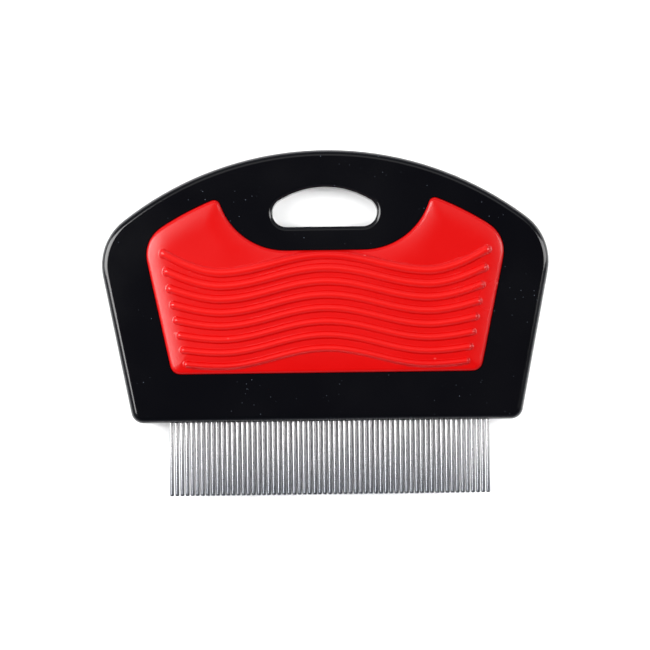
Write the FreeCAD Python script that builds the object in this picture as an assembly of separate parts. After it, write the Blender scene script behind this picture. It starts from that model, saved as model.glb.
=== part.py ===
# Palm-held flea comb: a short black handle with a hang hole, a ribbed soft grip pad on each face,
# and one row of 63 steel pins moulded into a strip that the two handle halves clamp.
#
# The comb lies on its back. X runs along the pin row, Y runs from the pin tips to the top of the
# handle, and Z runs from the rear face to the front face. The origin is at the middle of the
# comb's footprint, on the surface that the rear ribs rest on. All sizes are in millimetres.
import FreeCAD, Part
import math
import os

from FreeCAD import Vector

# ---------------------------------------------------------------- pin row
PIN_COUNT = 63
PIN_PITCH = 1.0
PIN_RADIUS = 0.4
PIN_REACH = 14.45           # from the handle's lower edge to the tips
PIN_ANCHOR = 6.0            # length held inside the strip
PIN_TIP_ROUND = 0.2         # rounding round the blunt end of a pin
PIN_ROW_SHIFT = 0.4         # the middle of the row, to the right of the handle's middle
PINS_PER_NODE = 3

# ---------------------------------------------------------------- handle outline
HANDLE_HEIGHT = 53.0
HANDLE_FOOT_HALF = 37.85    # half width at the lower edge, before the corners are rounded
SIDE_LEAN = 11.0            # degrees that each side leans outwards
CROWN_ARC = 64.5            # radius of the top edge
SHOULDER_RADIUS = 11.0
FOOT_RADIUS = 2.4

# ---------------------------------------------------------------- hang hole, a rounded segment
HOLE_FLOOR_BELOW_TOP = 15.0
HOLE_HEIGHT = 7.7
HOLE_ARC = 17.05
HOLE_CORNER = 2.8

# ---------------------------------------------------------------- grip pad outline
PAD_FOOT_ABOVE_HANDLE = 9.45    # black border under the pad
PAD_FOOT_HALF = 30.15
PAD_LEAN = 11.8
PAD_BELOW_CROWN = 5.4           # black border over the pad
PAD_SHOULDER = 6.2
PAD_HORN = 1.2                  # rounding of the two points beside the hang hole
PAD_FOOT_RADIUS = 2.0
SADDLE_DEPTH = 19.6             # from the top of the handle to the pad's edge under the hole
SADDLE_HALF = 21.1
SADDLE_RADIUS = 13.5

# ---------------------------------------------------------------- wavy ribs on the pad
RIB_COUNT = 8
RIB_PITCH = 2.61
RIB_WIDTH = 1.0
FIRST_RIB_BELOW_TOP = 20.45     # middle line of the first rib, at the middle of the pad
WAVE_HALF = 20.5                # from the middle crest to the trough on each side
WAVE_DEPTH = 3.35
RIB_CURL = 0.067                # how fast the first rib climbs again past the trough
CURL_KEPT = 0.84                # each rib below keeps this much of the climb of the one above
CURL_POWER = 1.7
FIRST_RIB_REACH = 31.9
REACH_STEP = 0.6                # each rib below ends this much nearer to the middle
RIB_STEPS = 24                  # spans between the points that each side of a rib passes through

# ---------------------------------------------------------------- heights through the comb
SHELL_DEPTH = 4.0               # each handle half
PAD_SEAT = 1.0                  # depth of the recess that holds the pad
PAD_PROUD = 0.8
RIB_PROUD = 0.6
SHELL_PLATE = 2.3               # wall over the hollow, before the recess is taken out of it

# ---------------------------------------------------------------- walls, rounds and clearances
EDGE_ROUND = 1.2
HOLE_ROUND = 0.8
PAD_ROUND = 0.6
RIB_ROUND = 0.3
PARTING_CHAMFER = 0.15
SIDE_WALL = 2.0
HOLE_WALL = 1.8
STIFFENER = 1.2
STIFFENER_OUT = 13.0            # each stiffener's distance from the middle
PAD_GAP = 0.1
FIT_GAP = 0.05

# ---------------------------------------------------------------- pin strip
STRIP_END = 1.5                 # strip beyond the first and last pin
STRIP_RECESS = 0.25             # strip's lower face above the handle's lower edge
STRIP_HEIGHT = 7.0
STRIP_DEPTH = 3.0
STRIP_HEAD_HEIGHT = 2.0
STRIP_HEAD_DEPTH = 4.6
STRIP_WALL = 1.5                # wall between the strip's pocket and the hollow

# ---------------------------------------------------------------- joints between the pieces
POST_RADIUS = 1.5
SOCKET_RADIUS = 2.7
POST_REACH = 2.0                # how far a post stands past the parting plane
SIDE_POST = (35.5, 2.0)         # x and y of the posts beside the pad, one on each side
CROWN_POST = (16.8, 25.6)       # and of the posts beside the hang hole
STUD_RADIUS = 1.2
STUD_HEAD_RADIUS = 1.8
STUD_HEAD = 0.8
UPPER_STUD = (24.5, 16.5)       # x and y of the studs under the pad's horns
LOWER_STUD = (26.0, -5.0)       # and under its lower corners
MIDDLE_STUD_Y = 2.0

# ---------------------------------------------------------------- worked-out places
OVERALL_HEIGHT = HANDLE_HEIGHT + PIN_REACH
TOP = OVERALL_HEIGHT / 2
HANDLE_FOOT = TOP - HANDLE_HEIGHT
TIPS = -OVERALL_HEIGHT / 2
CROWN_CENTRE = TOP - CROWN_ARC
MID = RIB_PROUD + PAD_PROUD + SHELL_DEPTH
FRONT = MID + SHELL_DEPTH
CEILING = FRONT - SHELL_PLATE
SEAT = FRONT - PAD_SEAT
PAD_FACE = FRONT + PAD_PROUD
HOLE_FLOOR = TOP - HOLE_FLOOR_BELOW_TOP
PAD_FOOT = HANDLE_FOOT + PAD_FOOT_ABOVE_HANDLE
SADDLE = TOP - SADDLE_DEPTH
STRIP_FOOT = HANDLE_FOOT + STRIP_RECESS
STRIP_TOP = STRIP_FOOT + STRIP_HEIGHT
HOLLOW_FOOT = STRIP_TOP + FIT_GAP + STRIP_WALL
PIN_TOP = STRIP_FOOT + PIN_ANCHOR
STRIP_HALF = (PIN_COUNT - 1) * PIN_PITCH / 2 + PIN_RADIUS + STRIP_END
STRIP_LEFT = PIN_ROW_SHIFT - STRIP_HALF
STRIP_RIGHT = PIN_ROW_SHIFT + STRIP_HALF

POSTS = [(side * x, y) for side in (-1, 1) for x, y in (SIDE_POST, CROWN_POST)]
STUDS = [(side * x, y) for side in (-1, 1) for x, y in (UPPER_STUD, LOWER_STUD)] + [(0.0, MIDDLE_STUD_Y)]
STIFFENERS = [-STIFFENER_OUT, STIFFENER_OUT]

FAR = 200.0                     # reaches past the whole comb in any direction
OVERCUT = 1.0                   # how far a cutter stands out of what it cuts
FINE = 1e-4


# ================================================================ helpers
def block(x_low, x_high, y_low, y_high, z_low, z_high):
    """A box between two corners."""
    corner = Vector(x_low, y_low, z_low)
    return Part.makeBox(x_high - x_low, y_high - y_low, z_high - z_low, corner)


def rod(x, y, radius, z_low, z_high):
    """A cylinder along Z."""
    return Part.makeCylinder(radius, z_high - z_low, Vector(x, y, z_low))


def slab(points, z_low, z_high):
    """A polygon in X and Y, made solid between two heights."""
    corners = [Vector(x, y, z_low) for x, y in points]
    face = Part.Face(Part.makePolygon(corners + corners[:1]))
    return face.extrude(Vector(0, 0, z_high - z_low))


def upright_edges(shape, wanted):
    """Straight edges along Z whose x and y satisfy wanted(x, y)."""
    found = []
    for edge in shape.Edges:
        ends = [v.Point for v in edge.Vertexes]
        if len(ends) != 2 or abs(ends[0].z - ends[1].z) < FINE:
            continue
        upright = abs(ends[0].x - ends[1].x) < FINE and abs(ends[0].y - ends[1].y) < FINE
        if upright and wanted(ends[0].x, ends[0].y):
            found.append(edge)
    return found


def edges_at(shape, height):
    """Edges that lie in the plane z = height."""
    return [e for e in shape.Edges
            if abs(e.BoundBox.ZMin - height) < FINE and abs(e.BoundBox.ZMax - height) < FINE]


def on_rear(shape):
    """The same shape on the rear face of the comb: its mirror image in the parting plane."""
    return shape.mirror(Vector(0, 0, MID), Vector(0, 0, 1))


# ================================================================ outlines as solids
def handle_blank(inset, z_low, z_high):
    """The handle's outline moved inwards by inset. The corners keep the same centres."""
    lean = math.tan(math.radians(SIDE_LEAN))
    shift = inset / math.cos(math.radians(SIDE_LEAN))
    foot = HANDLE_FOOT + inset
    low_half = HANDLE_FOOT_HALF + (foot - HANDLE_FOOT) * lean - shift
    high = TOP + CROWN_ARC - CROWN_ARC * math.cos(math.radians(SIDE_LEAN)) + SHOULDER_RADIUS
    high_half = HANDLE_FOOT_HALF + (high - HANDLE_FOOT) * lean - shift
    sides = slab([(-low_half, foot), (low_half, foot), (high_half, high), (-high_half, high)], z_low, z_high)
    blank = sides.common(rod(0, CROWN_CENTRE, CROWN_ARC - inset, z_low, z_high))
    shoulders = upright_edges(blank, lambda x, y: y > 0)
    blank = blank.makeFillet(SHOULDER_RADIUS - inset, shoulders)
    feet = upright_edges(blank, lambda x, y: y < foot + FINE)
    return blank.makeFillet(FOOT_RADIUS - inset, feet)


def hole_blank(grow, z_low, z_high):
    """The hang hole made solid: a circle's segment with rounded ends, moved outwards by grow."""
    arc_centre = HOLE_FLOOR + HOLE_HEIGHT - HOLE_ARC
    disc = rod(0, arc_centre, HOLE_ARC + grow, z_low, z_high)
    segment = disc.common(block(-FAR, FAR, HOLE_FLOOR - grow, FAR, z_low, z_high))
    ends = upright_edges(segment, lambda x, y: y < HOLE_FLOOR - grow + FINE)
    return segment.makeFillet(HOLE_CORNER + grow, ends)


def pad_blank(grow, z_low, z_high):
    """The grip pad's outline moved outwards by grow, with the saddle under the hang hole cut out."""
    lean = math.tan(math.radians(PAD_LEAN))
    foot = PAD_FOOT - grow
    low_half = PAD_FOOT_HALF - grow * lean + grow / math.cos(math.radians(PAD_LEAN))
    high_half = low_half + (TOP - foot) * lean
    sides = slab([(-low_half, foot), (low_half, foot), (high_half, TOP), (-high_half, TOP)], z_low, z_high)
    blank = sides.common(rod(0, CROWN_CENTRE, CROWN_ARC - PAD_BELOW_CROWN + grow, z_low, z_high))
    saddle = block(-SADDLE_HALF + grow, SADDLE_HALF - grow, SADDLE + grow, FAR, z_low, z_high)
    bends = upright_edges(saddle, lambda x, y: y < SADDLE + grow + FINE)
    blank = blank.cut(saddle.makeFillet(SADDLE_RADIUS - grow, bends))
    shoulders = upright_edges(blank, lambda x, y: y > 0 and abs(x) > SADDLE_HALF + PAD_SHOULDER)
    blank = blank.makeFillet(PAD_SHOULDER + grow, shoulders)
    horns = upright_edges(blank, lambda x, y: y > SADDLE + SADDLE_RADIUS / 2 and abs(x) < SADDLE_HALF)
    blank = blank.makeFillet(PAD_HORN + grow, horns)
    feet = upright_edges(blank, lambda x, y: y < foot + FINE)
    return blank.makeFillet(PAD_FOOT_RADIUS + grow, feet)


# ================================================================ handle halves
def hollow():
    """The space inside a front half: walls, a ring round the hang hole and two stiffeners stay."""
    space = handle_blank(SIDE_WALL, MID, CEILING)
    space = space.cut(block(-FAR, FAR, -FAR, HOLLOW_FOOT, MID, CEILING))
    space = space.cut(hole_blank(HOLE_WALL, MID, CEILING))
    for x in STIFFENERS:
        space = space.cut(block(x - STIFFENER / 2, x + STIFFENER / 2, HOLLOW_FOOT, SADDLE, MID, CEILING))
    return space


def strip_pocket():
    """Half of the pocket round the pin strip, as deep as a front half needs, open at the lower edge."""
    left = STRIP_LEFT - FIT_GAP
    right = STRIP_RIGHT + FIT_GAP
    top = STRIP_TOP + FIT_GAP
    head_foot = STRIP_TOP - STRIP_HEAD_HEIGHT - FIT_GAP
    body = block(left, right, HANDLE_FOOT - OVERCUT, top, MID, MID + STRIP_DEPTH / 2 + FIT_GAP)
    head = block(left, right, head_foot, top, MID, MID + STRIP_HEAD_DEPTH / 2 + FIT_GAP)
    return body.fuse(head)


def half_shell():
    """What the two handle halves share, as the front half: skin, recess, hang hole, hollow, pocket."""
    shell = handle_blank(0, MID, FRONT)
    shell = shell.makeChamfer(PARTING_CHAMFER, edges_at(shell, MID))
    shell = shell.makeFillet(EDGE_ROUND, edges_at(shell, FRONT))
    hole = hole_blank(0, MID, FRONT)
    shell = shell.cut(hole)
    rim = [e for e in edges_at(shell, FRONT)
           if e.BoundBox.YMin > HOLE_FLOOR - FINE and e.BoundBox.YMax < HOLE_FLOOR + HOLE_HEIGHT + FINE]
    shell = shell.makeFillet(HOLE_ROUND, rim)
    shell = shell.cut(pad_blank(PAD_GAP, SEAT, FRONT))
    shell = shell.cut(hollow())
    shell = shell.cut(strip_pocket())
    for x, y in STUDS:
        shell = shell.cut(rod(x, y, STUD_RADIUS + FIT_GAP, CEILING - FINE, SEAT + FINE))
    return shell


def front_shell():
    """The front half, with a blind socket for each post."""
    shell = half_shell()
    for x, y in POSTS:
        shell = shell.fuse(rod(x, y, SOCKET_RADIUS, MID, CEILING + FINE))
        shell = shell.cut(rod(x, y, POST_RADIUS + FIT_GAP, MID, MID + POST_REACH + FIT_GAP))
    return shell.removeSplitter()


def rear_shell():
    """The rear half, with a post on a boss for each socket."""
    shell = on_rear(half_shell())
    floor = 2 * MID - CEILING
    for x, y in POSTS:
        shell = shell.fuse(rod(x, y, SOCKET_RADIUS, floor - FINE, MID))
        shell = shell.fuse(rod(x, y, POST_RADIUS, MID - FINE, MID + POST_REACH))
    return shell.removeSplitter()


# ================================================================ grip pads
def rib_curl(rib):
    """How strongly a rib climbs past its troughs."""
    return RIB_CURL * CURL_KEPT ** rib


def rib_height(rib, x):
    """Y of a rib's middle line: a cosine wave to the trough on each side, then a climb."""
    crest = TOP - FIRST_RIB_BELOW_TOP - rib * RIB_PITCH
    past = abs(x) - WAVE_HALF
    if past > 0:
        return crest - WAVE_DEPTH + rib_curl(rib) * past ** CURL_POWER
    return crest - WAVE_DEPTH * (1 - math.cos(math.pi * x / WAVE_HALF)) / 2


def rib_slope(rib, x):
    """Slope of that line at x."""
    past = abs(x) - WAVE_HALF
    if past > 0:
        return math.copysign(CURL_POWER * rib_curl(rib) * past ** (CURL_POWER - 1), x)
    return -WAVE_DEPTH * math.pi / WAVE_HALF * math.sin(math.pi * x / WAVE_HALF) / 2


def rib_solid(rib, z_low, z_high):
    """One rib: two curves half a width off its middle line, with a round end on each side."""
    reach = FIRST_RIB_REACH - rib * REACH_STEP - RIB_WIDTH / 2
    places = [reach * (2 * i / RIB_STEPS - 1) for i in range(RIB_STEPS + 1)]

    def beside(x, offset):
        slope = rib_slope(rib, x)
        length = math.hypot(1, slope)
        return Vector(x - offset * slope / length, rib_height(rib, x) + offset / length, z_low)

    def round_end(x, way):
        slope = rib_slope(rib, x)
        length = math.hypot(1, slope)
        half = RIB_WIDTH / 2 * way
        tip = Vector(x + half / length, rib_height(rib, x) + half * slope / length, z_low)
        return Part.Arc(beside(x, RIB_WIDTH / 2), tip, beside(x, -RIB_WIDTH / 2)).toShape()

    sides = []
    for offset in (RIB_WIDTH / 2, -RIB_WIDTH / 2):
        curve = Part.BSplineCurve()
        curve.interpolate([beside(x, offset) for x in places])
        sides.append(curve.toShape())
    edges = Part.__sortEdges__([sides[0], round_end(reach, 1), sides[1], round_end(-reach, -1)])
    solid = Part.Face(Part.Wire(edges)).extrude(Vector(0, 0, z_high - z_low))
    return solid.makeFillet(RIB_ROUND, edges_at(solid, z_high))


def front_pad():
    """The front grip pad: a plate in the recess, eight ribs, and studs with heads inside the hollow."""
    pad = pad_blank(0, SEAT, PAD_FACE)
    pad = pad.makeFillet(PAD_ROUND, edges_at(pad, PAD_FACE))
    for rib in range(RIB_COUNT):
        pad = pad.fuse(rib_solid(rib, PAD_FACE - RIB_PROUD, PAD_FACE + RIB_PROUD))
    for x, y in STUDS:
        pad = pad.fuse(rod(x, y, STUD_RADIUS, CEILING - STUD_HEAD, SEAT + FINE))
        pad = pad.fuse(rod(x, y, STUD_HEAD_RADIUS, CEILING - FIT_GAP - STUD_HEAD, CEILING - FIT_GAP))
    return pad.removeSplitter()


# ================================================================ pin row
def pin_x(index):
    """X of a pin's middle line."""
    return PIN_ROW_SHIFT + (index - (PIN_COUNT - 1) / 2) * PIN_PITCH


def pin(index):
    """One pin: a straight wire with a blunt, rounded end."""
    foot = Vector(pin_x(index), TIPS, MID)
    wire = Part.makeCylinder(PIN_RADIUS, PIN_TOP - TIPS, foot, Vector(0, 1, 0))
    tip_edge = [e for e in wire.Edges if e.BoundBox.YMax < TIPS + FINE]
    return wire.makeFillet(PIN_TIP_ROUND, tip_edge)


def pin_strip():
    """The strip that the pins are moulded into, with a thicker head that keys into both halves."""
    head_foot = STRIP_TOP - STRIP_HEAD_HEIGHT
    web = STRIP_DEPTH / 2
    key = STRIP_HEAD_DEPTH / 2
    body = block(STRIP_LEFT, STRIP_RIGHT, STRIP_FOOT, STRIP_TOP, MID - web, MID + web)
    head = block(STRIP_LEFT, STRIP_RIGHT, head_foot, STRIP_TOP, MID - key, MID + key)
    bores = []
    for index in range(PIN_COUNT):
        start = Vector(pin_x(index), STRIP_FOOT, MID)
        bores.append(Part.makeCylinder(PIN_RADIUS, PIN_ANCHOR, start, Vector(0, 1, 0)))
    return body.fuse(head).removeSplitter().cut(Part.makeCompound(bores))


# ================================================================ write one file for each sub-part
def write(name, shape):
    """Checks a sub-part, then writes its STEP file."""
    if not shape.isValid() or not shape.Solids or shape.Volume <= 0:
        raise ValueError(name + " is not a sound solid")
    shape.exportStep("parts/" + name + ".step")
    print(name, len(shape.Solids), "solid(s)", round(shape.Volume, 2), "mm3")


def main():
    os.makedirs("parts", exist_ok=True)
    write("front_shell", front_shell())
    write("rear_shell", rear_shell())
    pad = front_pad()
    write("front_grip_pad", pad)
    write("rear_grip_pad", on_rear(pad))
    write("pin_strip", pin_strip())
    for first in range(0, PIN_COUNT, PINS_PER_NODE):
        group = [pin(first + step) for step in range(PINS_PER_NODE)]
        write("pins_%02d_to_%02d" % (first + 1, first + PINS_PER_NODE), Part.makeCompound(group))


main()
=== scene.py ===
# %% [markdown]
# # A palm-held flea comb
#
# The comb has a glossy black handle in two moulded halves, a red ribbed grip pad on each face, and a
# row of fine steel pins. This lesson dresses an engineering model of it: the handle keeps its
# engineered shape and gets a finish, and the pads and the pins are made again with more care.

# %% Load the engineering model
import math

import bmesh
import bpy
import numpy as np
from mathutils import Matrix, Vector
from mathutils.geometry import delaunay_2d_cdt


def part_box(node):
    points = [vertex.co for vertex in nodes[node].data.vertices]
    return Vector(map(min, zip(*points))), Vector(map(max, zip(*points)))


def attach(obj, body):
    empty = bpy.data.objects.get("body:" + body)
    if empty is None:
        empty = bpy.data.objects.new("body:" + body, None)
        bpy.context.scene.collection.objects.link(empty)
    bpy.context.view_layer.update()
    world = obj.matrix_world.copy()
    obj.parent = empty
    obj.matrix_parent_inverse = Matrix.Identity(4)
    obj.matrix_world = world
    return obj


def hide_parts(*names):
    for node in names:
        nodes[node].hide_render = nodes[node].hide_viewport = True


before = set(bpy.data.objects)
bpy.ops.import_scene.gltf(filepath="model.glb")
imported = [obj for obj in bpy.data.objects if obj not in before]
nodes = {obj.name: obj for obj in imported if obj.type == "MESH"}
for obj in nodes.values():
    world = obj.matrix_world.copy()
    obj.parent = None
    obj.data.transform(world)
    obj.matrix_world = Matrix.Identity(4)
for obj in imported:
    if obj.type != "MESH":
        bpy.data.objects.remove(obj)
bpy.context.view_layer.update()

MM = 0.001

# %% [markdown]
# ## Three small tools
#
# Paint is chosen as a hex value, but light adds up in linear numbers, so one function turns a hex
# value to linear. A second function adds a node to any tree, whether it makes a shape or a
# finish. A node given as a value means its first output. The third puts a new object in the scene.

# %% Colour, nodes and objects
def linear(hex_value):
    """A linear RGBA colour from an sRGB hex value such as #E3120F."""
    parts = [int(hex_value[i:i + 2], 16) / 255 for i in (1, 3, 5)]
    return (*[c / 12.92 if c <= 0.04045 else ((c + 0.055) / 1.055) ** 2.4 for c in parts], 1.0)


def add(tree, kind, values=None, **options):
    """Adds a node, sets its options, and sets or links the inputs named or numbered in values."""
    node = tree.nodes.new(kind)
    for name, option in options.items():
        setattr(node, name, option)
    for name, value in (values or {}).items():
        if isinstance(value, bpy.types.Node):
            value = value.outputs[0]
        if isinstance(value, bpy.types.NodeSocket):
            tree.links.new(value, node.inputs[name])
        else:
            node.inputs[name].default_value = value
    return node


def new_object(name, data):
    """A new object in the scene, at the origin."""
    made = bpy.data.objects.new(name, data)
    bpy.context.scene.collection.objects.link(made)
    return made


# %% [markdown]
# ## Finishes
#
# Each finish starts from its real material. ABS is an opaque plastic with an index near 1.54; out of a
# polished mould it is glossy with a slight ripple, called orange peel, and it shows every grain of
# dust. The grip is a soft thermoplastic rubber, which leaves the mould satin. The pins are drawn
# steel wire, which carries fine lines along its length. An image could hold such patterns, but a
# pattern worked out from position has no seams and any scale.

# %% Glossy black ABS
def start_material(name):
    """A new material and its empty tree."""
    material = bpy.data.materials.new(name)
    material.use_nodes = True
    material.node_tree.nodes.clear()
    return material, material.node_tree


def coat(tree, values):
    """Ends a tree in a Principled shader with these inputs."""
    shader = add(tree, "ShaderNodeBsdfPrincipled", values)
    add(tree, "ShaderNodeOutputMaterial", {"Surface": shader})


def moulded_abs(name, colour, dust_colour, gloss, dusty_gloss):
    """Moulded ABS: dark and glossy, with orange peel, and with pale dust that breaks the gloss."""
    material, tree = start_material(name)
    place = add(tree, "ShaderNodeTexCoord").outputs["Object"]
    # Orange peel is a ripple about 1.2 mm across and a few thousandths of a millimetre deep.
    peel = add(tree, "ShaderNodeTexNoise", {"Vector": place, "Scale": 1 / (1.2 * MM), "Detail": 1.0})
    bump = add(tree, "ShaderNodeBump", {"Height": peel, "Strength": 0.25, "Distance": 0.012 * MM})
    # Real dust is about 0.05 mm across. It is drawn 0.2 mm across, so that it shows.
    cells = add(tree, "ShaderNodeTexVoronoi", {"Vector": place, "Scale": 1 / (1.2 * MM)})
    near = add(tree, "ShaderNodeMapRange", {"Value": cells.outputs["Distance"], "From Min": 0.04,
                                            "From Max": 0.1, "To Min": 1.0, "To Max": 0.0})
    drift = add(tree, "ShaderNodeTexNoise", {"Vector": place, "Scale": 1 / (9 * MM), "Detail": 2.0})
    drifted = add(tree, "ShaderNodeMapRange", {"Value": drift, "From Min": 0.48, "From Max": 0.62})
    dust = add(tree, "ShaderNodeMath", {0: near, 1: drifted}, operation="MULTIPLY")
    paint = add(tree, "ShaderNodeMix", {"Factor": dust, 6: linear(colour), 7: linear(dust_colour)},
                data_type="RGBA")
    # Handling leaves patches, tens of millimetres across, where the gloss is a little duller.
    handled = add(tree, "ShaderNodeTexNoise", {"Vector": place, "Scale": 1 / (22 * MM), "Detail": 3.0})
    rough = add(tree, "ShaderNodeMapRange", {"Value": handled, "From Min": 0.3, "From Max": 0.7,
                                             "To Min": gloss, "To Max": dusty_gloss})
    coat(tree, {"Base Color": paint.outputs[2], "Roughness": rough, "Normal": bump, "IOR": 1.54})
    return material


glossy_black_abs = moulded_abs("glossy_black_abs", "#06060A", "#565E68", 0.08, 0.18)
plain_black_abs = moulded_abs("plain_black_abs", "#121317", "#3A3D42", 0.42, 0.52)
print("blacks:", glossy_black_abs.name, "and", plain_black_abs.name)

# %% [markdown]
# The rubber needs two heights of the model, because the crowns of its ribs are painted a little paler than
# the plate between them: painted light on the crowns, in place of the shade that falls in the grooves.

# %% Satin red rubber
RIB_PROUD = 0.6 * MM

pad_low, pad_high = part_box("front_grip_pad")
pad_face = pad_high.z - RIB_PROUD
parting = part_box("front_shell")[0].z    # the plane where the handle halves meet


def moulded_rubber():
    """Thermoplastic rubber: saturated red, a satin skin with a fine grain, and a little pale lint."""
    material, tree = start_material("satin_red_rubber")
    place = add(tree, "ShaderNodeTexCoord").outputs["Object"]
    # The mould's spark-eroded grain is about 0.15 mm; it is drawn 0.3 mm across, so that it shows.
    grain = add(tree, "ShaderNodeTexNoise", {"Vector": place, "Scale": 1 / (0.3 * MM), "Detail": 2.0})
    bump = add(tree, "ShaderNodeBump", {"Height": grain, "Strength": 0.12, "Distance": 0.02 * MM})
    cloud = add(tree, "ShaderNodeTexNoise", {"Vector": place, "Scale": 1 / (14 * MM), "Detail": 3.0})
    tone = add(tree, "ShaderNodeMapRange", {"Value": cloud, "From Min": 0.1, "From Max": 0.9})
    plate = add(tree, "ShaderNodeMix", {"Factor": tone, 6: linear("#CE0100"), 7: linear("#D80201")},
                data_type="RGBA")
    # Painted light: the ribs' crowns are painted paler than the plate, standing in for shade in the
    # grooves.
    height = add(tree, "ShaderNodeSeparateXYZ", {0: place}).outputs["Z"]
    from_middle = add(tree, "ShaderNodeMath", {0: height, 1: parting}, operation="SUBTRACT")
    out = add(tree, "ShaderNodeMath", {0: from_middle}, operation="ABSOLUTE")
    painted_crown_light = add(tree, "ShaderNodeMapRange", {"Value": out, "From Min": pad_face - parting + 0.1 * MM,
                                              "From Max": pad_high.z - parting})
    red = add(tree, "ShaderNodeMix", {"Factor": painted_crown_light, 6: plate.outputs[2], 7: linear("#E2140F")},
              data_type="RGBA")
    # Lint is short and pale. It is a few cells of a pattern, stretched along the ribs.
    stretch = add(tree, "ShaderNodeMapping", {"Vector": place, "Scale": (0.6, 1.0, 1.0)})
    cells = add(tree, "ShaderNodeTexVoronoi", {"Vector": stretch, "Scale": 1 / (2.4 * MM)})
    near = add(tree, "ShaderNodeMapRange", {"Value": cells.outputs["Distance"], "From Min": 0.05,
                                            "From Max": 0.11, "To Min": 0.7, "To Max": 0.0})
    drift = add(tree, "ShaderNodeTexNoise", {"Vector": place, "Scale": 1 / (11 * MM), "Detail": 1.0})
    drifted = add(tree, "ShaderNodeMapRange", {"Value": drift, "From Min": 0.6, "From Max": 0.66})
    lint = add(tree, "ShaderNodeMath", {0: near, 1: drifted}, operation="MULTIPLY")
    paint = add(tree, "ShaderNodeMix", {"Factor": lint, 6: red.outputs[2], 7: linear("#FF9C94")},
                data_type="RGBA")
    rough = add(tree, "ShaderNodeMapRange", {"Value": cloud, "From Min": 0.1, "From Max": 0.9,
                                             "To Min": 0.23, "To Max": 0.29})
    coat(tree, {"Base Color": paint.outputs[2], "Roughness": rough, "Normal": bump, "IOR": 1.5})
    return material


satin_red_rubber = moulded_rubber()
print("red rubber between", round(pad_face / MM, 1), "and", round(pad_high.z / MM, 1), "mm")

# %% [markdown]
# The steel needs to know where the pins end and where they enter the handle.

# %% Drawn steel wire
pin_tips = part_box("pins_01_to_03")[0].y
pin_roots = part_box("front_shell")[0].y


def drawn_steel():
    """Stainless wire: bright metal with draw lines along the pin. A metal keeps the default IOR."""
    material, tree = start_material("drawn_steel_wire")
    place = add(tree, "ShaderNodeTexCoord").outputs["Object"]
    # Draw lines are finer than 0.02 mm. They are drawn 0.1 mm apart and 20 mm long, so that they show.
    along = add(tree, "ShaderNodeMapping", {"Vector": place, "Scale": (1.0, 0.1 / 20.0, 1.0)})
    lines = add(tree, "ShaderNodeTexNoise", {"Vector": along, "Scale": 1 / (0.1 * MM), "Detail": 2.0})
    bump = add(tree, "ShaderNodeBump", {"Height": lines, "Strength": 0.1, "Distance": 0.002 * MM})
    rough = add(tree, "ShaderNodeMapRange", {"Value": lines, "From Min": 0.3, "From Max": 0.7,
                                             "To Min": 0.2, "To Max": 0.26})
    clean = add(tree, "ShaderNodeMix", {"Factor": lines, 6: linear("#ACAAAA"), 7: linear("#C8C6C6")},
                data_type="RGBA")
    # Painted shade: the steel is painted darker towards the tips, most at the tips and none by the roots.
    reach = add(tree, "ShaderNodeSeparateXYZ", {0: place}).outputs["Y"]
    painted_tip_shade = add(tree, "ShaderNodeMapRange", {"Value": reach, "From Min": pin_tips, "From Max": pin_roots,
                                            "To Min": 1.0, "To Max": 0.0})
    tone = add(tree, "ShaderNodeMix", {"Factor": painted_tip_shade, 6: clean.outputs[2], 7: linear("#74767C")},
               data_type="RGBA")
    coat(tree, {"Base Color": tone.outputs[2], "Roughness": rough, "Normal": bump, "Metallic": 1.0})
    return material


drawn_steel_wire = drawn_steel()
print("finishes:", [m.name for m in bpy.data.materials if m.use_nodes])

# %% [markdown]
# ## The handle
#
# The two halves are hard plastic with one radius round the edge, which is just what the engineering
# model holds, so both keep their shape and only take the finish. So does the strip that grips the
# pins, which shows only from below.

# %% Finish the handle
def finish_node(name, material):
    """Gives a node of the engineering model its finish."""
    slots = nodes[name].data.materials
    slots.clear()
    slots.append(material)


finish_node("front_shell", glossy_black_abs)
finish_node("rear_shell", glossy_black_abs)
finish_node("pin_strip", plain_black_abs)
print("finished as modelled: both halves and the pin strip")

# %% [markdown]
# ## The grip pads
#
# A grip pad is one soft moulding: a plate that sits in a recess, with wavy ribs on it and headed
# studs under it. Its face falls away gently towards its border. Ribs that were swept and rested on a
# plate would leave hidden faces inside it, so the face is one skin, and the ribs are raised out of it.
#
# The underside and studs come from the engineering model. Everything above the seat is removed, and
# the rim that is left is the line that the new skin grows from.

# %% Keep the underside of the pad
PAD_PLATE = 1.8 * MM            # from the seat to the pad's face
RIM_STEP = 0.4 * MM             # spacing of points round the rim
WELD = 0.001 * MM

pad_seat = pad_face - PAD_PLATE


def underside_of_pad():
    """A mesh of the pad's seat and studs, with the rim's long edges divided."""
    mesh = bmesh.new()
    mesh.from_mesh(nodes["front_grip_pad"].data)
    bmesh.ops.remove_doubles(mesh, verts=mesh.verts, dist=WELD)
    above = [f for f in mesh.faces if f.calc_center_median().z > pad_seat + WELD]
    bmesh.ops.delete(mesh, geom=above, context="FACES")
    for edge in [e for e in mesh.edges if e.is_boundary]:
        pieces = round(edge.calc_length() / RIM_STEP)
        near = edge.verts[0]
        for left in range(pieces, 1, -1):
            edge, middle = bmesh.utils.edge_split(edge, near, 1 / left)
            edge = next(e for e in middle.link_edges if near not in e.verts and e.is_boundary)
            near = middle
    return mesh


def rim_of(mesh):
    """The open rim's vertices in order, anticlockwise seen from above."""
    start = next(e for e in mesh.edges if e.is_boundary).verts[0]
    rim = [start]
    while True:
        ahead = [e.other_vert(rim[-1]) for e in rim[-1].link_edges if e.is_boundary]
        ahead = [v for v in ahead if v not in rim[-2:]]
        if not ahead or ahead[0] is start:
            break
        rim.append(ahead[0])
    flat = np.array([v.co.xy for v in rim])
    following = np.roll(flat, -1, axis=0)
    area = np.sum(flat[:, 0] * following[:, 1] - following[:, 0] * flat[:, 1])
    return rim if area > 0 else rim[::-1]


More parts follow.
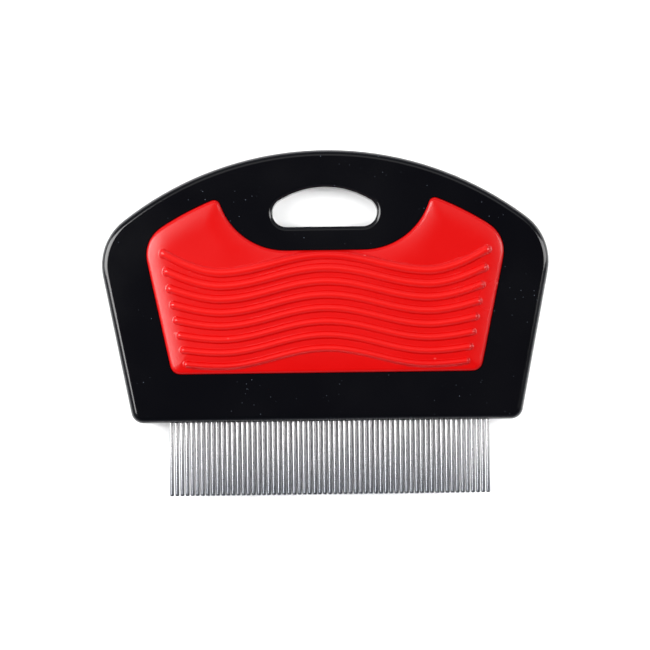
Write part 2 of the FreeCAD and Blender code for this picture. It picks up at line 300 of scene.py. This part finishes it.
pad_mesh = underside_of_pad()
rim = rim_of(pad_mesh)
print("pad rim has", len(rim), "points")

# %% [markdown]
# The rim is smoothed by a few hundredths of a millimetre, because the model's arcs arrive as short
# straight runs and a soft edge shows them. Then come rings: a skirt up from the seat, a quarter round
# at the edge, and two rings on the face. A ring is the rim moved inwards along its own normals.

# %% Rings round the edge
PAD_EDGE = 0.6 * MM             # radius of the pad's edge
CROWN_DROP = 0.44 * MM          # how far the face falls at its border
CROWN_REACH = 4.6 * MM          # how far inside the border the fall begins
EDGE_TURNS = 6
FACE_RINGS = (0.12 * MM, 0.28 * MM)     # how far in from the rounded edge
RIM_PASSES = 4

flat_rim = np.array([v.co.xy for v in rim])
for _ in range(RIM_PASSES):
    neighbours = (np.roll(flat_rim, 1, axis=0) + np.roll(flat_rim, -1, axis=0)) / 2
    flat_rim = (flat_rim + neighbours) / 2
for vertex, (x, y) in zip(rim, flat_rim):
    vertex.co.x = x
    vertex.co.y = y


def inset(outline, distance):
    """An anticlockwise outline moved inwards."""
    run = np.roll(outline, -1, axis=0) - np.roll(outline, 1, axis=0)
    run /= np.linalg.norm(run, axis=1)[:, None]
    return outline + distance * np.stack([-run[:, 1], run[:, 0]], axis=1)


def crown(distance):
    """How far the face lies below its middle, at a distance inside the border."""
    share = np.clip(1 - distance / CROWN_REACH, 0, 1)
    return CROWN_DROP * share ** 2


turns = np.linspace(0, math.pi / 2, EDGE_TURNS)
ring_plan = [(PAD_EDGE * (1 - math.cos(t)), PAD_EDGE * (1 - math.sin(t))) for t in turns]
ring_plan += [(PAD_EDGE + further, 0.0) for further in FACE_RINGS]

below = rim
for distance, drop in ring_plan:
    height = pad_face - drop - crown(np.array(distance))
    ring = [pad_mesh.verts.new((x, y, height)) for x, y in inset(flat_rim, distance)]
    for i in range(len(rim)):
        j = (i + 1) % len(rim)
        pad_mesh.faces.new((below[i], below[j], ring[j], ring[i]))
    below = ring
print("rings:", len(ring_plan), "of", len(below), "points")

# %% [markdown]
# ### Where the ribs run
#
# Each rib's middle line is a cosine wave that falls to a trough on each side, and past the trough it
# climbs again, less on each rib down. The face is filled with points in rows beside those lines, close
# together on the flank of a rib and far apart between ribs, because that is where the skin bends.
# A Delaunay triangulation then joins them to the last ring.

# %% Fill the face with rows of points
RIBS = 8
RIB_PITCH = 2.61 * MM
FIRST_RIB_BELOW_CROWN = 20.45 * MM
WAVE_HALF = 20.5 * MM
WAVE_DEPTH = 3.35 * MM
RIB_CURL = 0.067
CURL_KEPT = 0.84
CURL_POWER = 1.7
FIRST_REACH = 31.4 * MM
REACH_STEP = 0.6 * MM
RIB_HALF = 1.0 * MM             # half width of the first rib at its foot
RIB_WIDTH_KEPT = 0.96           # each rib below keeps this much of the width
EDGE_CLEAR = 1.02 * MM          # no point nearer to the border than this
OPEN_HALF, OPEN_STEP = 26.4, 0.6    # in mm: columns where the ribs run free
END_START, END_STEP = 26.7, 0.14    # in mm: closer columns, where the ribs end
LOOSE_STEP = 0.8 * MM           # spacing of points above and below the ribs
LOOSE_START = 1.7 * MM          # the lowest of them above the first rib's crest
LOOSE_CLEAR = 1.5 * MM          # and how near they come to a rib's middle line
BESIDE = [0.14, 0.29, 0.43, 0.55, 0.66, 0.76, 0.85, 0.93, 1.0, 1.07, 1.16, 1.3]     # of a rib's half width

first_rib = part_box("front_shell")[1].y - FIRST_RIB_BELOW_CROWN


def rib_line(rib, x):
    """Y of a rib's middle line, for an array of x."""
    past = np.maximum(np.abs(x) - WAVE_HALF, 0) / MM
    within = np.minimum(np.abs(x), WAVE_HALF)
    wave = WAVE_DEPTH * (1 - np.cos(math.pi * within / WAVE_HALF)) / 2
    return first_rib - rib * RIB_PITCH - wave + RIB_CURL * CURL_KEPT ** rib * past ** CURL_POWER * MM


def border_distance(points, outline):
    """Distance of each point to an outline, negative outside it."""
    ends = np.roll(outline, -1, axis=0)
    nearest = np.full(len(points), np.inf)
    crossings = np.zeros(len(points), int)
    for a, b in zip(outline, ends):
        run = b - a
        share = np.clip((points - a) @ run / (run @ run), 0, 1)
        nearest = np.minimum(nearest, np.linalg.norm(points - a - share[:, None] * run, axis=1))
        if a[1] != b[1]:
            level = (points[:, 1] > min(a[1], b[1])) & (points[:, 1] <= max(a[1], b[1]))
            crossings += level & (points[:, 0] < a[0] + (points[:, 1] - a[1]) * run[0] / run[1])
    return np.where(crossings % 2 == 1, nearest, -nearest)


def loose_row(height, shift):
    """A level row of points across the pad."""
    across = np.arange(-half_width, half_width, LOOSE_STEP) + shift
    return np.stack([across, np.full(len(across), height)], axis=1)


half_width = pad_high.x
rows = np.array([-share for share in reversed(BESIDE)] + [0.0] + BESIDE) * RIB_HALF
open_columns = np.arange(-OPEN_HALF, OPEN_HALF + 0.1, OPEN_STEP) * MM
end_columns = np.arange(END_START, half_width / MM, END_STEP) * MM
columns = np.concatenate([-end_columns[::-1], open_columns, end_columns])
spread = []
for rib in range(RIBS):
    for row in rows * RIB_WIDTH_KEPT ** rib:
        spread.append(np.stack([columns, rib_line(rib, columns) + row], axis=1))

# Every second row above the ribs is shifted by half a step, so that the triangles come out even.
for i, height in enumerate(np.arange(first_rib + LOOSE_START, pad_high.y, LOOSE_STEP)):
    row = loose_row(height, LOOSE_STEP / 2 * (i % 2))
    spread.append(row[height > rib_line(0, row[:, 0]) + LOOSE_CLEAR])
for height in np.arange(pad_low.y, first_rib - RIBS * RIB_PITCH + LOOSE_STEP, LOOSE_STEP):
    row = loose_row(height, 0.0)
    spread.append(row[height < rib_line(RIBS - 1, row[:, 0]) - LOOSE_CLEAR])

spread = np.concatenate(spread)
spread = spread[border_distance(spread, flat_rim) > EDGE_CLEAR]
print("points on the face:", len(spread))

# %% [markdown]
# The triangles have to meet the last ring's own vertices, so a corner that came from the ring uses
# its vertex again, and any other corner gets a new one at the height of the falling face.

# %% Join the points into a skin
ONLY_INSIDE = 1
SAME_POINT = 1e-6


def fill_face(mesh, ring, points):
    """Triangulates the face inside a ring, through the given points."""
    edge = inset(flat_rim, ring_plan[-1][0])
    flat = [Vector(p) / MM for p in np.concatenate([edge, points])]
    inside = [list(range(len(ring)))]
    corners, _, triangles, sources, _, _ = delaunay_2d_cdt(flat, [], inside, ONLY_INSIDE, SAME_POINT)
    far_in = border_distance(np.array(corners) * MM, flat_rim)
    made = []
    for corner, source, distance in zip(corners, sources, far_in):
        from_ring = [s for s in source if s < len(ring)]
        if from_ring:
            made.append(ring[from_ring[0]])
        else:
            height = pad_face - crown(distance)
            made.append(mesh.verts.new((corner[0] * MM, corner[1] * MM, height)))
    for triangle in triangles:
        mesh.faces.new([made[i] for i in triangle])


fill_face(pad_mesh, below, spread)
bmesh.ops.recalc_face_normals(pad_mesh, faces=pad_mesh.faces)
front_pad_data = bpy.data.meshes.new("front_pad_skin")
pad_mesh.to_mesh(front_pad_data)
open_edges = sum(not e.is_manifold for e in pad_mesh.edges)
print("pad faces:", len(pad_mesh.faces), "open edges:", open_edges, "volume mm3:",
      round(pad_mesh.calc_volume() / MM ** 3, 1))

# %% [markdown]
# ### Raise the ribs
#
# Eight ribs follow one rule, so a node tree raises them: it works out how far each point is from a
# rib's middle line, lifts it if it is near, and repeats that for each rib. Sizes are named inputs, so
# the ribs can be made taller or closer without touching the tree. The rise falls with the square of
# the distance, which gives a rib a round crown, and the lower ribs are a little slimmer.

# %% A tree that raises wavy ribs
def new_tree(name, inputs):
    """An empty modifier tree with a geometry output and the named inputs."""
    tree = bpy.data.node_groups.new(name, "GeometryNodeTree")
    tree.is_modifier = True
    tree.interface.new_socket("Geometry", in_out="OUTPUT", socket_type="NodeSocketGeometry")
    for label, kind in inputs:
        tree.interface.new_socket(label, in_out="INPUT", socket_type="NodeSocket" + kind)
    return tree


def rib_tree():
    """Raises wavy ribs out of a face. Every length is in metres."""
    sizes = ["Pitch", "First Rib", "Wave Half", "Wave Depth", "Curl", "Curl Kept", "Curl Power",
             "Reach", "Reach Step", "Rise", "Half Width", "Width Kept"]
    inputs = [("Geometry", "Geometry"), ("Ribs", "Int"), ("Floor", "Float")]
    inputs += [(size, "Float") for size in sizes] + [("Material", "Material")]
    tree = new_tree("raised_ribs", inputs)
    given = add(tree, "NodeGroupInput").outputs
    math_node = "ShaderNodeMath"

    start = add(tree, "GeometryNodeRepeatInput")
    end = add(tree, "GeometryNodeRepeatOutput")
    start.pair_with_output(end)
    tree.links.new(given["Geometry"], start.inputs["Geometry"])
    tree.links.new(given["Ribs"], start.inputs["Iterations"])
    rib = start.outputs["Iteration"]

    place = add(tree, "ShaderNodeSeparateXYZ", {0: add(tree, "GeometryNodeInputPosition")}).outputs
    out = add(tree, math_node, {0: place["X"]}, operation="ABSOLUTE")
    less_reach = add(tree, math_node, {0: rib, 1: given["Reach Step"]}, operation="MULTIPLY")
    reach = add(tree, math_node, {0: given["Reach"], 1: less_reach}, operation="SUBTRACT")
    on_rib = add(tree, math_node, {0: out, 1: reach}, operation="MINIMUM")

    # The middle line: a cosine wave as far as the trough, then a climb by a power of the distance.
    within = add(tree, math_node, {0: on_rib, 1: given["Wave Half"]}, operation="MINIMUM")
    turn = add(tree, math_node, {0: within, 1: given["Wave Half"]}, operation="DIVIDE")
    angle = add(tree, math_node, {0: turn, 1: math.pi}, operation="MULTIPLY")
    cosine = add(tree, math_node, {0: angle}, operation="COSINE")
    one_less = add(tree, math_node, {0: 1.0, 1: cosine}, operation="SUBTRACT")
    half_depth = add(tree, math_node, {0: given["Wave Depth"], 1: 0.5}, operation="MULTIPLY")
    wave = add(tree, math_node, {0: half_depth, 1: one_less}, operation="MULTIPLY")
    beyond = add(tree, math_node, {0: on_rib, 1: within}, operation="SUBTRACT")
    in_mm = add(tree, math_node, {0: beyond, 1: MM}, operation="DIVIDE")
    powered = add(tree, math_node, {0: in_mm, 1: given["Curl Power"]}, operation="POWER")
    kept = add(tree, math_node, {0: given["Curl Kept"], 1: rib}, operation="POWER")
    curl = add(tree, math_node, {0: given["Curl"], 1: kept}, operation="MULTIPLY")
    climb_mm = add(tree, math_node, {0: powered, 1: curl}, operation="MULTIPLY")
    climb = add(tree, math_node, {0: climb_mm, 1: MM}, operation="MULTIPLY")
    down = add(tree, math_node, {0: rib, 1: given["Pitch"]}, operation="MULTIPLY")
    crest = add(tree, math_node, {0: given["First Rib"], 1: down}, operation="SUBTRACT")
    trough = add(tree, math_node, {0: crest, 1: wave}, operation="SUBTRACT")
    line = add(tree, math_node, {0: trough, 1: climb}, operation="ADD")

    # Distance from the line: across it along the rib, and from the end point past the end.
    across = add(tree, math_node, {0: place["Y"], 1: line}, operation="SUBTRACT")
    past_end = add(tree, math_node, {0: out, 1: on_rib}, operation="SUBTRACT")
    away = add(tree, "ShaderNodeCombineXYZ", {0: past_end, 1: across})
    distance = add(tree, "ShaderNodeVectorMath", {0: away}, operation="LENGTH").outputs["Value"]
    slimmer = add(tree, math_node, {0: given["Width Kept"], 1: rib}, operation="POWER")
    half_width = add(tree, math_node, {0: given["Half Width"], 1: slimmer}, operation="MULTIPLY")
    share = add(tree, "ShaderNodeMapRange", {"Value": distance, "From Min": 0.0, "From Max": half_width})
    fallen = add(tree, math_node, {0: share, 1: share}, operation="MULTIPLY")
    height_left = add(tree, math_node, {0: 1.0, 1: fallen}, operation="SUBTRACT")
    rise = add(tree, math_node, {0: height_left, 1: given["Rise"]}, operation="MULTIPLY")
    # The skirt and the studs stay as they are: only what lies above the floor is raised.
    on_face = add(tree, math_node, {0: place["Z"], 1: given["Floor"]}, operation="GREATER_THAN")
    lift = add(tree, math_node, {0: rise, 1: on_face}, operation="MULTIPLY")
    offset = add(tree, "ShaderNodeCombineXYZ", {2: lift})
    moved = add(tree, "GeometryNodeSetPosition", {"Geometry": start.outputs["Geometry"], "Offset": offset})
    tree.links.new(moved.outputs[0], end.inputs["Geometry"])

    whole = add(tree, "GeometryNodeRealizeInstances", {0: end.outputs["Geometry"]})
    painted = add(tree, "GeometryNodeSetMaterial", {"Geometry": whole, "Material": given["Material"]})
    add(tree, "NodeGroupOutput", {"Geometry": painted})
    return tree


# %% [markdown]
# A tree runs as a modifier on a new object. Its result is kept as a plain mesh and the modifier goes,
# so that nothing is left to be worked out later.

# %% Run a tree and keep its result as a plain mesh
SHARP = math.radians(50)


def run_tree(name, data, tree, values):
    """A new object whose mesh is what the tree makes of data. The modifier doesn't stay."""
    maker = new_object(name, data)
    modifier = maker.modifiers.new("make", "NODES")
    modifier.node_group = tree
    for socket in tree.interface.items_tree:
        if socket.in_out == "INPUT" and socket.name in values:
            modifier[socket.identifier] = values[socket.name]
    bpy.context.view_layer.update()
    made = maker.evaluated_get(bpy.context.evaluated_depsgraph_get())
    mesh = bpy.data.meshes.new_from_object(made)
    mesh.name = name
    maker.modifiers.remove(modifier)
    maker.data = mesh
    for face in mesh.polygons:
        face.use_smooth = True
    mesh.set_sharp_from_angle(angle=SHARP)
    return maker


rib_sizes = {
    "Ribs": RIBS, "Floor": pad_face - CROWN_DROP - PAD_EDGE / 2, "Pitch": RIB_PITCH, "First Rib": first_rib,
    "Wave Half": WAVE_HALF, "Wave Depth": WAVE_DEPTH, "Curl": RIB_CURL, "Curl Kept": CURL_KEPT,
    "Curl Power": CURL_POWER, "Reach": FIRST_REACH, "Reach Step": REACH_STEP, "Rise": RIB_PROUD,
    "Half Width": RIB_HALF, "Width Kept": RIB_WIDTH_KEPT, "Material": satin_red_rubber,
}
front_pad = run_tree("front_grip_pad_skin", front_pad_data, rib_tree(), rib_sizes)
front_pad_box = [round(side / MM, 2) for side in front_pad.dimensions]
print("front pad:", len(front_pad.data.polygons), "faces,", front_pad_box, "mm")


# %% [markdown]
# The rear pad is the front pad mirrored in the plane where the handle halves meet. A mirror turns a
# mesh inside out, so its faces are flipped back.

# %% The rear pad
def mirrored_pad(pad):
    """A copy of the pad on the other side of the parting plane."""
    mesh = bmesh.new()
    mesh.from_mesh(pad.data)
    for vertex in mesh.verts:
        vertex.co.z = 2 * parting - vertex.co.z
    bmesh.ops.reverse_faces(mesh, faces=mesh.faces)
    data = pad.data.copy()
    data.name = "rear_grip_pad_skin"
    mesh.to_mesh(data)
    data.set_sharp_from_angle(angle=SHARP)
    return new_object("rear_grip_pad_skin", data)


rear_pad = mirrored_pad(front_pad)
for pad, node in ((front_pad, "front_grip_pad"), (rear_pad, "rear_grip_pad")):
    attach(pad, "root")
    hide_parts(node)
print("rear pad:", len(rear_pad.data.polygons), "faces")

# %% [markdown]
# ## The pins
#
# A pin is a straight steel wire whose end is cut square and tumbled until its edge is round, so that
# it slides over the skin. It is a curve with a radius that shrinks at the tip, swept with a circle,
# and repeated along a line. Wires are never quite true, so each leans a little, by a random amount
# with a fixed seed. There are three pins to a node of the model, and the tree runs once for each node.

# %% A tree that makes a few pins
PIN_STATIONS = 17
PIN_SIDES = 16
CROWDING = 4.0


def pin_tree():
    """Pins along X that hang from their roots towards -Y."""
    sizes = ["Pitch", "Radius", "Length", "Tip Round", "Lean"]
    inputs = [("Geometry", "Geometry"), ("Pins", "Int"), ("Seed", "Int"), ("First Root", "Vector")]
    inputs += [(size, "Float") for size in sizes] + [("Material", "Material")]
    tree = new_tree("blunt_pins", inputs)
    given = add(tree, "NodeGroupInput").outputs
    math_node = "ShaderNodeMath"

    # Points crowd towards the tip, because the shape changes only there.
    share = add(tree, "GeometryNodeSplineParameter").outputs["Factor"]
    left = add(tree, math_node, {0: 1.0, 1: share}, operation="SUBTRACT")
    crowded = add(tree, math_node, {0: left, 1: CROWDING}, operation="POWER")
    up_from_tip = add(tree, math_node, {0: crowded, 1: given["Length"]}, operation="MULTIPLY")
    down = add(tree, math_node, {0: up_from_tip, 1: given["Length"]}, operation="SUBTRACT")
    middle = add(tree, "GeometryNodeCurvePrimitiveLine", {"Start": (0, 0, 0), "End": (0, -1, 0)})
    stations = add(tree, "GeometryNodeResampleCurve", {"Curve": middle, "Count": PIN_STATIONS})
    place = add(tree, "ShaderNodeCombineXYZ", {1: down})
    laid = add(tree, "GeometryNodeSetPosition", {"Geometry": stations, "Position": place})

    # The radius follows a quarter circle over the rounded end, and then it is the plain wire's.
    at = add(tree, "ShaderNodeSeparateXYZ", {0: add(tree, "GeometryNodeInputPosition")})
    from_tip = add(tree, math_node, {0: at.outputs["Y"], 1: given["Length"]}, operation="ADD")
    in_round = add(tree, math_node, {0: from_tip, 1: given["Tip Round"]}, operation="MINIMUM")
    short = add(tree, math_node, {0: given["Tip Round"], 1: in_round}, operation="SUBTRACT")
    short_squared = add(tree, math_node, {0: short, 1: short}, operation="MULTIPLY")
    squared = add(tree, math_node, {0: given["Tip Round"], 1: given["Tip Round"]}, operation="MULTIPLY")
    left_squared = add(tree, math_node, {0: squared, 1: short_squared}, operation="SUBTRACT")
    quarter = add(tree, math_node, {0: left_squared}, operation="SQRT")
    flat_end = add(tree, math_node, {0: given["Radius"], 1: given["Tip Round"]}, operation="SUBTRACT")
    radius = add(tree, math_node, {0: flat_end, 1: quarter}, operation="ADD")

    circle = add(tree, "GeometryNodeCurvePrimitiveCircle", {"Resolution": PIN_SIDES, "Radius": 1.0})
    wire = add(tree, "GeometryNodeCurveToMesh", {"Curve": laid, "Profile Curve": circle, "Scale": radius,
                                                 "Fill Caps": True})

    step = add(tree, "ShaderNodeCombineXYZ", {0: given["Pitch"]})
    row = add(tree, "GeometryNodeMeshLine", {"Count": given["Pins"], "Start Location": given["First Root"],
                                             "Offset": step})
    most = add(tree, "ShaderNodeCombineXYZ", {0: given["Lean"], 2: given["Lean"]})
    least = add(tree, "ShaderNodeVectorMath", {0: most, 1: (-1, -1, -1)}, operation="MULTIPLY")
    lean = add(tree, "FunctionNodeRandomValue", {0: least, 1: most, "Seed": given["Seed"]},
               data_type="FLOAT_VECTOR")
    pins = add(tree, "GeometryNodeInstanceOnPoints", {"Points": row, "Instance": wire, "Rotation": lean})
    whole = add(tree, "GeometryNodeRealizeInstances", {0: pins})
    painted = add(tree, "GeometryNodeSetMaterial", {"Geometry": whole, "Material": given["Material"]})
    add(tree, "NodeGroupOutput", {"Geometry": painted})
    return tree


# %% [markdown]
# Each node's box gives the radius, the length, the pitch and the place of its three pins.

# %% Make the pins of every node
PINS_PER_NODE = 3
TIP_ROUND = 0.2 * MM
LEAN = 0.0015                   # in radians, the most that a pin leans each way

pin_nodes = sorted(name for name in nodes if name.startswith("pins_"))
blunt_pins = pin_tree()
pin_faces = 0
for seed, node in enumerate(pin_nodes):
    low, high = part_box(node)
    pin_radius = (high.z - low.z) / 2
    pin_sizes = {
        "Pins": PINS_PER_NODE, "Seed": seed, "Radius": pin_radius, "Length": high.y - low.y,
        "First Root": (low.x + pin_radius, high.y, (low.z + high.z) / 2),
        "Pitch": (high.x - low.x - 2 * pin_radius) / (PINS_PER_NODE - 1),
        "Tip Round": TIP_ROUND, "Lean": LEAN, "Material": drawn_steel_wire,
    }
    wires = run_tree(node + "_wires", bpy.data.meshes.new(node), blunt_pins, pin_sizes)
    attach(wires, "root")
    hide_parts(node)
    pin_faces += len(wires.data.polygons)
print("pins:", len(pin_nodes) * PINS_PER_NODE, "with", pin_faces, "faces")

# %% [markdown]
# ## Floor, light and camera
#
# The comb lies on a plain pale floor. Gloss shows what surrounds it, so two soft boxes do most of the
# work. The left one is the brighter: it draws the line along the handle's rounded edge, the sheen on
# the pads' fallen border and the left half of every pin. Both stand a little towards the top of the
# comb, so that the lower flank of each rib turns dark, and a dim box above the comb lifts the upper
# flanks. Two lamps light the floor alone, which keeps it white without dulling the black. The sky is
# dark overhead and lighter near the floor, as inside a tent of white cloth: the flat black faces look
# up at the dark and stay black.

# %% The floor
def pale_floor():
    """Matt white card, large enough that no view shows its edge."""
    half = 3.0
    data = bpy.data.meshes.new("floor")
    corners = [(-half, -half, 0), (half, -half, 0), (half, half, 0), (-half, half, 0)]
    data.from_pydata(corners, [], [(0, 1, 2, 3)])
    material, tree = start_material("matt_white_card")
    place = add(tree, "ShaderNodeTexCoord").outputs["Object"]
    fibre = add(tree, "ShaderNodeTexNoise", {"Vector": place, "Scale": 1 / (2 * MM), "Detail": 2.0})
    white = add(tree, "ShaderNodeMix", {"Factor": fibre, 6: linear("#F6F6F6"), 7: linear("#FBFBFB")},
                data_type="RGBA")
    coat(tree, {"Base Color": white.outputs[2], "Roughness": 0.9})
    data.materials.append(material)
    floor = new_object("floor", data)
    return floor


floor_alone = bpy.data.collections.new("floor_alone")
floor_alone.objects.link(pale_floor())
print("floor in its own collection:", floor_alone.name)

# %% [markdown]
# Each light is a name, a place, a size and a power in watts, and the last two name what they light.

# %% The lights
def soft_box(name, place, size, power, lit=None):
    """A rectangular light that faces the comb. Given a collection, it lights only what is in it."""
    lamp = bpy.data.lights.new(name, "AREA")
    lamp.shape = "RECTANGLE"
    lamp.size, lamp.size_y = size
    lamp.energy = power
    box = new_object(name, lamp)
    box.location = place
    box.rotation_mode = "QUATERNION"
    box.rotation_quaternion = (-Vector(place)).to_track_quat("-Z", "Y")
    box.light_linking.receiver_collection = lit


soft_box("left_box", (-0.43, 0.10, 0.46), (0.34, 0.60), 5.5)
soft_box("right_box", (0.50, 0.10, 0.38), (0.22, 0.60), 2.2)
soft_box("top_box", (0.03, 0.29, 0.55), (0.50, 0.27), 0.25)
soft_box("left_floor_lamp", (-0.33, 0.0, 0.52), (0.12, 0.60), 1.2, floor_alone)
soft_box("right_floor_lamp", (0.33, 0.0, 0.52), (0.12, 0.60), 3.6, floor_alone)


def cloth_tent():
    """A sky that is dark overhead and lighter near the floor."""
    world = bpy.data.worlds.new("cloth_tent")
    world.use_nodes = True
    tree = world.node_tree
    tree.nodes.clear()
    way = add(tree, "ShaderNodeSeparateXYZ", {0: add(tree, "ShaderNodeTexCoord").outputs["Generated"]})
    glow = add(tree, "ShaderNodeMapRange", {"Value": way.outputs["Z"], "From Min": 0.25, "From Max": 0.7,
                                            "To Min": 0.5, "To Max": 0.04})
    cloth = add(tree, "ShaderNodeBackground", {"Color": linear("#EEF2FF"), "Strength": glow})
    add(tree, "ShaderNodeOutputWorld", {"Surface": cloth})
    bpy.context.scene.world = world


cloth_tent()
bpy.context.scene.view_settings.view_transform = "Standard"
print("lights:", sorted(lamp.name for lamp in bpy.data.lights))

# %% [markdown]
# The camera looks straight down through a long lens, so that the comb is seen almost without
# perspective. It is turned by under a degree, and the comb's pins stand in the lower half.

# %% The camera
VIEW_WIDTH = 126.8 * MM         # what the frame spans at the handle's face
VIEW_MIDDLE = (-0.2 * MM, -0.5 * MM)
VIEW_TURN = math.radians(-0.75)
LENS = 200.0
SENSOR = 36.0

camera_data = bpy.data.cameras.new("camera")
camera_data.lens = LENS
camera_data.sensor_width = SENSOR
camera_data.clip_start = 10 * MM
camera = new_object("camera", camera_data)
above_face = VIEW_WIDTH * LENS / SENSOR
camera.location = (*VIEW_MIDDLE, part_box("front_shell")[1].z + above_face)
camera.rotation_euler = (0, 0, VIEW_TURN)
bpy.context.scene.camera = camera
print("camera stands", round(above_face, 3), "m above the handle")
